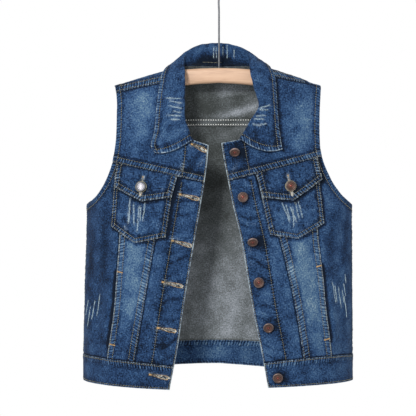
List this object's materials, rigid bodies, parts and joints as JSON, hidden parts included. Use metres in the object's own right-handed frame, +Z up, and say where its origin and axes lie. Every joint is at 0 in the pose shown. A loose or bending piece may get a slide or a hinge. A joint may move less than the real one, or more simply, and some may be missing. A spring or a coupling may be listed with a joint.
{
  "type": "denim vest on a wooden hanger",
  "caption": "Sleeveless denim vest with a pointed collar, flapped chest pockets and an open buttoned front, hanging on a wooden hanger.",
  "frame": {"origin": "inside of the hanger hook's crown, where a rail carries it", "axes": "+Z up along the hook's stem, +X to the viewer's right as the open front is seen, -Y out of the open front"},
  "size_m": [0.4581, 0.1284, 0.7114],
  "materials": {
    "denim": "washed and worn",
    "copper": "aged copper",
    "silver": "satin",
    "wood": "clear satin",
    "steel": "polished"
  },
  "bodies": {
    "root": {"back_yoke": "denim", "back_center": "denim", "back_side_left": "denim", "back_side_right": "denim", "front_yoke_left": "denim", "front_yoke_right": "denim", "front_center_left": "denim", "front_center_right": "denim", "front_mid_left": "denim", "front_mid_right": "denim", "front_side_left": "denim", "front_side_right": "denim", "pocket_left": "denim", "pocket_right": "denim", "pocket_flap_left": "denim", "pocket_flap_right": "denim", "waistband_left": "denim", "waistband_right": "denim", "waistband_back": "denim", "collar": "denim", "button_1": "copper", "button_2": "copper", "button_3": "copper", "button_4": "copper", "button_5": "copper", "button_6": "copper", "flap_button_right": "copper", "flap_button_left": "silver", "hanger_bar": "wood", "hanger_hook": "steel"}
  },
  "joints": []
}
